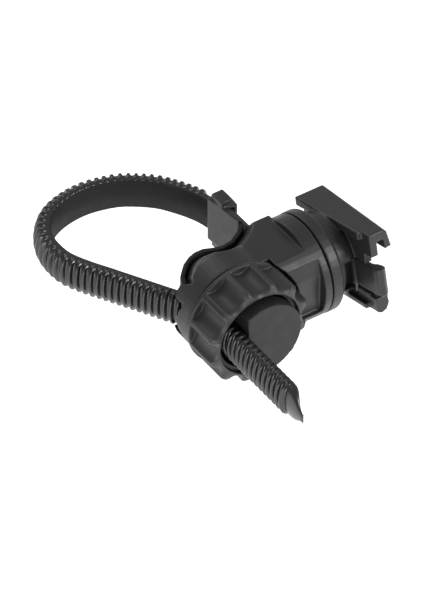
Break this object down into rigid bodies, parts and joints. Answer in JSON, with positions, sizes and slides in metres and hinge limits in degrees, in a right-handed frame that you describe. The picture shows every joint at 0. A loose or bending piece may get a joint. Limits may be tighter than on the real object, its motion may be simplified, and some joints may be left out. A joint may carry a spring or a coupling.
{
  "type": "strap clamp swivel bracket",
  "caption": "Bracket that a ribbed strap and a thumb knob clamp round a bar, with a slide-in accessory rail on a swivel head.",
  "frame": {"origin": "axis of the smallest bar that the saddle fits, at the middle of the strap's width", "axes": "+Z along the bar, +X along the swivel's axis from the bar towards the accessory rail, -Y along the strap's free end and the knob's axis"},
  "size_m": [0.0616, 0.0892, 0.0266],
  "materials": {
    "body": "satin black moulding",
    "knob": "finely textured black moulding",
    "strap": "glossy flexible nylon",
    "pad": "dull rubber",
    "steel": "plain steel"
  },
  "bodies": {
    "bracket": {"base_frame": "body", "saddle_pad": "pad", "guide_core": "body", "core_screw": "steel", "swivel_collar": "body", "strap_loop": "strap", "strap_root": "strap"},
    "knob": {"dial_knob": "knob"},
    "tail": {"strap_tail": "strap"},
    "head": {"rail_head": "body", "friction_ring": "pad", "swivel_screw": "steel", "lever_pin": "steel"},
    "lever": {"release_lever": "body"}
  },
  "joints": [
    {"name": "knob_turn", "type": "hinge", "parent": "bracket", "child": "knob", "pos_m": [-0.0055, -0.029, 0], "axis": [0, 1, 0], "range_deg": [0, 1441]},
    {"name": "strap_feed", "type": "slide", "parent": "bracket", "child": "tail", "axis": [0, -1, 0], "range_m": [0, 0.0066], "deforming": ["strap_loop"]},
    {"name": "swivel_turn", "type": "hinge", "parent": "bracket", "child": "head", "pos_m": [0.02, -0.02, 0], "axis": [1, 0, 0], "range_deg": [-15, 45]},
    {"name": "lever_press", "type": "hinge", "parent": "head", "child": "lever", "pos_m": [0.0242, -0.02779, 0.00019], "axis": [0, -0.2419, -0.9703], "range_deg": [0, 6], "stiffness_Nm_per_rad": 0.6, "springref_deg": -1.15}
  ],
  "couplings": [
    {"joint": "knob_turn", "follows": "strap_feed", "rad_per_m": 3808}
  ]
}
